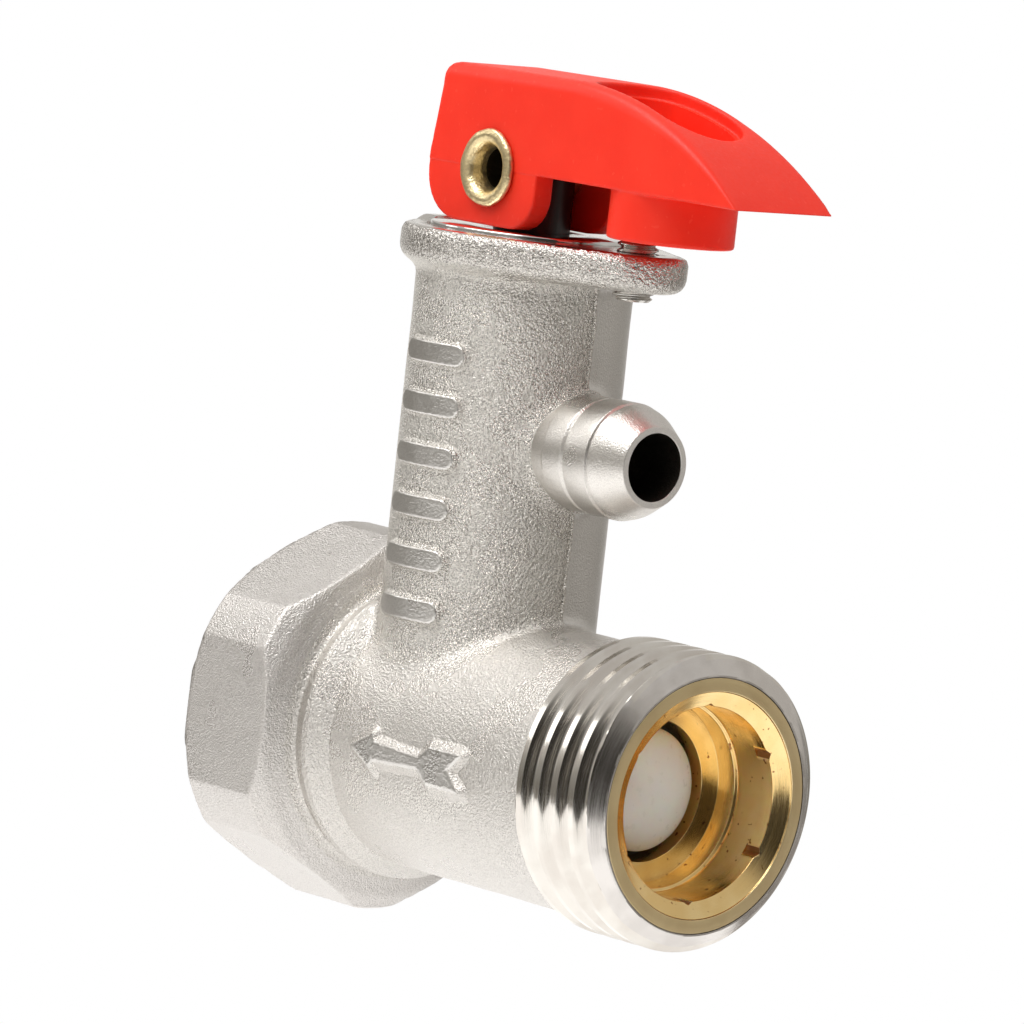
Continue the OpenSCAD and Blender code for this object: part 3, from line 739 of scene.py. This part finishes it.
def female_limit(x, below):
    r = ROOT_R + below
    r = np.maximum(r, ROOT_R + 0.45 - np.minimum(x, 0.45))
    return np.where(x <= 1e-6, ROOT_R + 0.45, np.where(x >= 9.2 - 1e-6, ROOT_R, r))


points, faces = helix_sleeve(
    PITCH, 1.7, 0.0, 9.2, female_limit,
    [(9.2, THREAD_R + 0.2), (0.3, THREAD_R + 0.2), (0.0, THREAD_R + 0.13)],
    land=0.17, depth=1.05, sign=-1)
outlet_thread = mesh_piece("outlet_thread", points, faces, "valve", "valve_body")
smooth_welded(outlet_thread, 30)
paint(outlet_thread, thread_groove)


# ---------------------------------------------------------------- turned pieces
def nozzle_outline():
    x = BRANCH_X
    return [
        (x + 7.2, NOZZLE_BORE_R), (x + 7.2, NOZZLE_R - 0.1), (x + 8.35, NOZZLE_R - 0.1),
        (x + 8.45, NOZZLE_R - 0.02), (x + 10.3, NOZZLE_R - 0.05), (x + 10.5, NOZZLE_R - 0.24),
        (x + 10.72, NOZZLE_R - 0.02), (x + 12.95, NOZZLE_R - 0.02), (x + 13.08, NOZZLE_R - 0.22),
        (x + 13.22, NOZZLE_R - 0.1), (x + 13.8, NOZZLE_R - 0.25, 0.5), (x + 14.6, NOZZLE_R - 0.68, 0.5),
        (NOZZLE_TIP - 0.35, NOZZLE_R - 1.1, 0.3), (NOZZLE_TIP, 2.85), (NOZZLE_TIP, NOZZLE_BORE_R + 0.04)]


nozzle = lathe("drain_nozzle", nozzle_outline(), "x", "valve", "nickel_plated_brass", "valve_body",
               centre=(0, 0, NOZZLE_Z))


def nozzle_region(centre, normal):
    """0 outside, 1 lip, 2 bore, painted near black as shade."""
    r = np.hypot(centre[:, 1], centre[:, 2] - NOZZLE_Z)
    return np.where(r < NOZZLE_BORE_R + 0.03, 2, np.where(normal[:, 0] > 0.9, 1, 0))


paint(nozzle, nozzle_skin, nozzle_lip, inside_painted_shade, choose=nozzle_region)

SOCKET_R, SOCKET_APOTHEM, SOCKET_FLOOR = 6.75, 6.05, 39.9
SEAT_HOLE_R, SEAT_X = 4.9, 35.8


def socket_shape(along, radius, theta):
    """Opens the socket's pilot bore out to the hexagon's six corners."""
    sector = np.mod(theta + math.pi / 6, math.pi / 3) - math.pi / 6
    corner = SOCKET_APOTHEM / np.cos(sector)
    in_socket = (along > SOCKET_FLOOR) & (radius < SOCKET_R + 0.5)
    return along, np.where(in_socket, np.maximum(radius, corner), radius)


insert_outline = [
    (insert_low[0], SEAT_HOLE_R), (insert_low[0], CHECK_R - 0.05), (RUN_LEN - 1.2, CHECK_R - 0.05),
    (RUN_LEN - 1.2, INSERT_R), (RUN_LEN, INSERT_R), (RUN_LEN, 7.92), (RUN_LEN - 0.16, 7.86),
    (RUN_LEN - 0.55, 7.1), (RUN_LEN - 0.66, 6.9), (RUN_LEN - 0.75, SOCKET_R),
    (SOCKET_FLOOR + 0.02, SOCKET_R), (SOCKET_FLOOR, SOCKET_R),
    (37.55, SOCKET_R), (37.5, 6.5), (SEAT_X, 6.5), (SEAT_X - 0.02, SEAT_HOLE_R + 0.1)]
insert = lathe("check_insert_turned", insert_outline, "x", "valve", "turned_brass", "check_insert",
               radius=0.05, segments=360, shape=socket_shape, sharp_deg=28)


def insert_region(centre, normal):
    """0 bore and bevel, 1 flat end ring, 2 socket corners, painted dark brown as shade."""
    x, y, z = centre.T
    run = np.hypot(y, z)
    number = np.where((x > RUN_LEN - 0.05) & (run > 7.8), 1, 0)
    # The socket's recessed corner walls take the dark brown brass, which is painted shade.
    number[(x > SOCKET_FLOOR) & (run > SOCKET_R + 0.02) & (np.abs(normal[:, 0]) < 0.35) & (run < 7.05)] = 2
    return number


paint(insert, insert_brass, insert_ring, notch_painted_shade, choose=insert_region)

POPPET_R, DOME_H = 4.35, 1.6
dome = [(poppet_high[0] + (math.sin(a) - 1) * DOME_H, POPPET_R * math.cos(a))
        for a in np.linspace(0.05, math.pi / 2, 14)]
poppet_outline = [
    (poppet_low[0], 0), (poppet_low[0], 1.4), (32.2, 1.6), (32.2, 6.6), (33.1, 6.6), (33.1, POPPET_R)] + dome
poppet = lathe("poppet_moulded", poppet_outline, "x", "poppet", "white_plastic", "check_poppet", closed=False)
paint(poppet, white_plastic)

plate_r, plate_hole = (plate_high[0] - plate_low[0]) / 2, 2.85
plate = lathe("wear_plate_polished", [
    (plate_low[2], plate_hole), (plate_high[2], plate_hole), (plate_high[2], plate_r, 0.15),
    (plate_low[2], plate_r)],
    "z", "valve", "polished_steel", "wear_plate", centre=(BRANCH_X, 0, 0))
paint(plate, mirror_steel)


def eyelet_outline():
    """Tube with a rolled trumpet head at each end, from the bore round the outside."""
    y = lever_high[1]
    head = [(y - 1.6, 1.37, 0.5), (y - 0.55, 1.42, 0.4), (y + 0.3, 1.75, 0.4), (y + 0.55, 2.3, 0.3),
            (y + 0.4, 2.72, 0.2), (y + 0.1, 2.8, 0.12), (y + 0.02, 2.6), (y + 0.02, 1.75)]
    return head + [(-a, *rest) for a, *rest in head[::-1]]


def hammered(along, radius, theta):
    """The rolled heads are slightly out of round."""
    wobble = 0.03 * np.sin(3 * theta + 1) + 0.018 * np.sin(7 * theta) + 0.01 * np.sin(13 * theta + 2)
    return along, radius + np.where(radius > 1.9, wobble - 0.045, 0)


eyelet = lathe("pivot_eyelet_rolled", eyelet_outline(), "y", "lever", "eyelet_brass", "pivot_eyelet",
               centre=(BRANCH_X, 0, PIVOT_Z), segments=96, shape=hammered, sharp_deg=60)
EYELET_BORE_R = 1.4
# Faces inside the bore get the near-black brass, which is painted shade.
paint(eyelet, eyelet_brass, bore_painted_shade,
      choose=lambda c, n: np.hypot(c[:, 0] - BRANCH_X, c[:, 2] - PIVOT_Z) < EYELET_BORE_R)

screw_r = (screw_high[0] - screw_low[0]) / 2


def screw_limit(x, below):
    r = screw_r - below
    r = np.minimum(r, screw_r - 0.3 + np.maximum(x - screw_low[2], 0))
    r = np.minimum(r, screw_r - 0.3 + np.maximum(screw_high[2] - x, 0))
    return r


points, faces = helix_sleeve(
    0.5, screw_low[2] + 0.2, screw_low[2], screw_high[2], screw_limit,
    [(screw_high[2], 0.0), (screw_low[2], 0.0)], land=0.06, depth=0.27, sign=1,
    segments=64, samples=5, bevel=0.01)
points = points[:, [1, 2, 0]] + [SCREW_X, 0, 0]
screw = mesh_piece("stop_screw_threaded", points, faces, "screw", "stop_screw")
smooth_welded(screw, 35)
paint(screw, screw_steel)

# ---------------------------------------------------------------- lever
LEVER_TOP, SKIRT_Z, CHEEK_Z = lever_high[2], 40.71, lever_low[2]
TIP_X, REAR_X, CHEEK_FRONT = lever_high[0] - BRANCH_X, lever_low[0] - BRANCH_X, 5.05
LEVER_HALF = lever_high[1]
SLOT_HALF, SLOT_ROOF, SLOT_FRONT = 2.8, 43.65, 5.85
ARC_X = 7.0
LEVER_ARC = ((TIP_X - ARC_X) ** 2 + (LEVER_TOP - SKIRT_Z) ** 2) / (2 * (LEVER_TOP - SKIRT_Z))
BOSS_X, BOSS_R, BOSS_Z = 14.66, 4.42, 37.35
RECESS_X, RECESS_HALF, RECESS_R, RECESS_FLOOR, LEDGE = 13.15, 2.75, 3.3, 43.4, 0.9


def arc_points(centre, radius, start_deg, end_deg, count):
    angles = np.radians(np.linspace(start_deg, end_deg, count))
    return [(centre[0] + radius * math.cos(a), centre[1] + radius * math.sin(a)) for a in angles]


def lever_outline():
    sweep = math.degrees(math.asin((TIP_X - ARC_X) / LEVER_ARC))
    return ([(TIP_X, SKIRT_Z), (CHEEK_FRONT, SKIRT_Z)]
            + arc_points((CHEEK_FRONT - 2.5, CHEEK_Z + 2.5), 2.5, 0, -90, 7)
            + arc_points((REAR_X + 3.4, CHEEK_Z + 3.4), 3.4, -90, -180, 9)
            + arc_points((REAR_X + 1.4, LEVER_TOP - 1.2), 1.2, 180, 90, 5)
            + arc_points((ARC_X, LEVER_TOP - LEVER_ARC), LEVER_ARC, 90, 90 - sweep, 40)[:-1])


LEVER_SIDE = lever_outline()


def lever_field(x, y, z):
    u = x - BRANCH_X
    side = polygon_2d(u, z, LEVER_SIDE)
    lower = np.clip((SKIRT_Z + 0.05 - z) / 0.1, 0, 1)
    flat = np.abs(y) - LEVER_HALF + 0.05 * lower
    edge = 0.22 + 0.9 * np.clip((z - 41.5) / 4.5, 0, 1)
    solid = smooth_max(side, flat, edge)
    boss = smooth_max(np.hypot(u - BOSS_X, y) - BOSS_R, np.maximum(BOSS_Z - z, z - SKIRT_Z - 1), 0.3)
    solid = smooth_min(solid, boss, 0.15)
    slot = np.maximum(np.abs(y) - SLOT_HALF, np.maximum(u - SLOT_FRONT, z - SLOT_ROOF))
    drop = LEVER_ARC - np.sqrt(np.maximum(LEVER_ARC ** 2 - np.maximum(u - ARC_X, 0) ** 2, 1))
    stadium = np.hypot(np.maximum(np.abs(u - RECESS_X) - RECESS_HALF, 0), y) - RECESS_R
    recess = smooth_max(stadium, LEVER_TOP - drop - LEDGE - z, 0.2)
    recess = np.minimum(recess, smooth_max(stadium + 0.4, RECESS_FLOOR - z, 0.4))
    hole = np.hypot(u, z - PIVOT_Z) - 1.78
    solid = smooth_max(solid, -slot, 0.15)
    solid = smooth_max(solid, -recess, 0.25)
    return np.maximum(solid, -hole)


points, faces, normals = contour(lever_field, lever_low, lever_high, 0.16)
lever = mesh_piece("lever_moulded", points, faces, "lever", "lever", normals=normals)
paint(lever, red_plastic)


# ---------------------------------------------------------------- springs
def coil_spring(name, axis, centre, base, top, mean_r, wire_r, turns, body, replaced, steps=36, sides=12):
    """Closed-end compression spring between two heights along an axis."""
    t = np.linspace(0, turns, int(turns * steps) + 1)
    closed = 2.05 * wire_r
    open_run = (top - base) - 2 * wire_r - 2 * closed
    height = (base + wire_r + closed * (np.minimum(t, 1) + np.maximum(t - turns + 1, 0))
              + open_run * np.clip(t - 1, 0, turns - 2) / (turns - 2))
    around = np.arange(sides) * 2 * math.pi / sides
    out = mean_r + wire_r * np.cos(around)[None, :]
    turn = 2 * math.pi * t[:, None]
    points = place(height[:, None] + wire_r * np.sin(around)[None, :], out * np.cos(turn), out * np.sin(turn),
                   axis, centre).reshape(-1, 3)
    last = (len(t) - 1) * sides
    faces = [(i * sides + s, (i + 1) * sides + s, (i + 1) * sides + k, i * sides + k)
             for i in range(len(t) - 1) for s, k in zip(range(sides), [*range(1, sides), 0])]
    faces += [tuple(range(sides)), tuple(range(last + sides - 1, last - 1, -1))]
    piece = mesh_piece(name, points, faces, body, replaced)
    smooth_welded(piece, 50)
    paint(piece, wire_steel)
    return piece


spring_low, spring_high = box_mm("relief_spring")
relief = coil_spring("relief_spring_wound", "z", (BRANCH_X, 0, 0), spring_low[2], spring_high[2], 4.5, 0.6, 6.5,
                     "valve", "relief_spring")
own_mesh(relief)

spring_low, spring_high = box_mm("check_spring")
check = coil_spring("check_spring_wound", "x", (0, 0, 0), spring_low[0], spring_high[0], 3.2, 0.28, 4.5,
                    "valve", "check_spring")
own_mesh(check)


# ---------------------------------------------------------------- studio and camera
def ramp(tree, value, stops):
    made = node(tree, "ShaderNodeValToRGB", {0: value})
    made.color_ramp.interpolation = "EASE"
    while len(made.color_ramp.elements) < len(stops):
        made.color_ramp.elements.new(0.5)
    for element, (position, colour) in zip(made.color_ramp.elements, stops):
        element.position = position
        element.color = (*colour, 1)
    return made.outputs["Color"]


def glow(tree, colour, direction, centre, inner_deg, outer_deg, target):
    """Turns the room's colour to target round one direction, with a soft border."""
    facing = node(tree, "ShaderNodeVectorMath", {0: direction, 1: Vector(centre).normalized()},
                  operation="DOT_PRODUCT").outputs["Value"]
    share = remap(tree, facing, math.cos(math.radians(outer_deg)), math.cos(math.radians(inner_deg)), 0, 1)
    return node(tree, "ShaderNodeMix", {0: share, 6: colour, 7: (*target, 1)}, data_type="RGBA").outputs[2]


def studio():
    """White to the camera; to the metal a pale ceiling and table with a dim room between them."""
    world = bpy.data.worlds.new("studio")
    bpy.context.scene.world = world
    world.use_nodes = True
    tree = world.node_tree
    tree.nodes.clear()
    direction = node(tree, "ShaderNodeTexCoord").outputs["Generated"]
    height = node(tree, "ShaderNodeSeparateXYZ", {0: direction}).outputs[2]
    room = ramp(tree, remap(tree, height, -1, 1, 0, 1, smooth=False), [
        (0.0, (1.0, 0.99, 0.97)), (0.20, (0.98, 0.96, 0.93)), (0.29, (0.55, 0.53, 0.50)),
        (0.37, (0.24, 0.22, 0.20)), (0.45, (0.17, 0.16, 0.14)), (0.54, (0.25, 0.24, 0.22)),
        (0.63, (0.46, 0.44, 0.41)), (1.0, (0.52, 0.51, 0.50))])
    room = glow(tree, room, direction, (-0.76, 0.60, -0.30), 10, 36, (0.80, 0.78, 0.75))
    room = glow(tree, room, direction, (0.35, 0.93, 0.03), 14, 34, (0.50, 0.48, 0.45))
    room = glow(tree, room, direction, (0.25, 0.78, -0.57), 18, 42, (0.24, 0.22, 0.20))
    room = glow(tree, room, direction, (0.90, -0.42, 0.12), 16, 38, (0.035, 0.032, 0.028))
    lit = node(tree, "ShaderNodeBackground", {"Color": room, "Strength": 1.24})
    white = node(tree, "ShaderNodeBackground", {"Color": (1, 1, 1, 1), "Strength": 1.0})
    seen = node(tree, "ShaderNodeLightPath").outputs["Is Camera Ray"]
    both = node(tree, "ShaderNodeMixShader", {0: seen, 1: lit.outputs[0], 2: white.outputs[0]})
    node(tree, "ShaderNodeOutputWorld", {"Surface": both.outputs[0]})


def softbox(name, place_m, aim_m, width, height, watts):
    light = bpy.data.lights.new(name, "AREA")
    light.shape, light.size, light.size_y, light.energy = "ELLIPSE", width, height, watts
    lamp = bpy.data.objects.new(name, light)
    bpy.context.scene.collection.objects.link(lamp)
    lamp.location = place_m
    lamp.rotation_euler = (Vector(aim_m) - Vector(place_m)).to_track_quat("-Z", "Y").to_euler()
    return lamp


def table():
    """Pale round table top well under the valve, clear when seen from underneath."""
    radius, height = 0.22, -0.055
    count = 96
    rim = [(BRANCH_X / MM + 0.03 + radius * math.cos(a), radius * math.sin(a) - 0.14, height)
           for a in np.arange(count) * 2 * math.pi / count]
    mesh = bpy.data.meshes.new("table")
    mesh.from_pydata(rim, [], [list(range(count))])
    top = bpy.data.objects.new("table", mesh)
    bpy.context.scene.collection.objects.link(top)
    material, tree, shader = principled("table_white", Roughness=0.9, Emission_Strength=0.36)
    shader.inputs["Base Color"].default_value = (0.9, 0.9, 0.9, 1)
    shader.inputs["Emission Color"].default_value = (1, 1, 1, 1)
    below = node(tree, "ShaderNodeNewGeometry").outputs["Backfacing"]
    clear = node(tree, "ShaderNodeBsdfTransparent").outputs[0]
    both = node(tree, "ShaderNodeMixShader", {0: below, 1: shader.outputs[0], 2: clear})
    tree.links.new(both.outputs[0], tree.nodes["Material Output"].inputs["Surface"])
    mesh.materials.append(material)


def camera():
    """Seen from the right front, slightly above, with the valve leaning in the frame."""
    azimuth, elevation, roll = (math.radians(a) for a in (49.308, 5.714, 6.266))
    target, distance = Vector((0.018437, 0, 0.016771)), 0.508885
    back = Vector((math.sin(azimuth) * math.cos(elevation), -math.cos(azimuth) * math.cos(elevation),
                   math.sin(elevation)))
    right = Vector((math.cos(azimuth), math.sin(azimuth), 0))
    up = back.cross(right)
    turned_right = math.cos(roll) * right + math.sin(roll) * up
    turned_up = -math.sin(roll) * right + math.cos(roll) * up
    data = bpy.data.cameras.new("camera")
    data.lens, data.sensor_width = 254.7, 36
    data.clip_start, data.clip_end = 0.01, 10
    seen_from = bpy.data.objects.new("camera", data)
    bpy.context.scene.collection.objects.link(seen_from)
    turn = Matrix((turned_right, turned_up, back)).transposed()
    seen_from.matrix_world = Matrix.Translation(target + back * distance) @ turn.to_4x4()
    bpy.context.scene.camera = seen_from


studio()
softbox("overhead", (-0.10, -0.32, 0.64), (0.018, 0, 0.02), 0.80, 0.46, 4.0)
softbox("side", (-0.58, -0.35, 0.30), (0.018, 0, 0.02), 0.26, 0.26, 0.42)
table()
camera()
bpy.context.scene.view_settings.view_transform = "Standard"
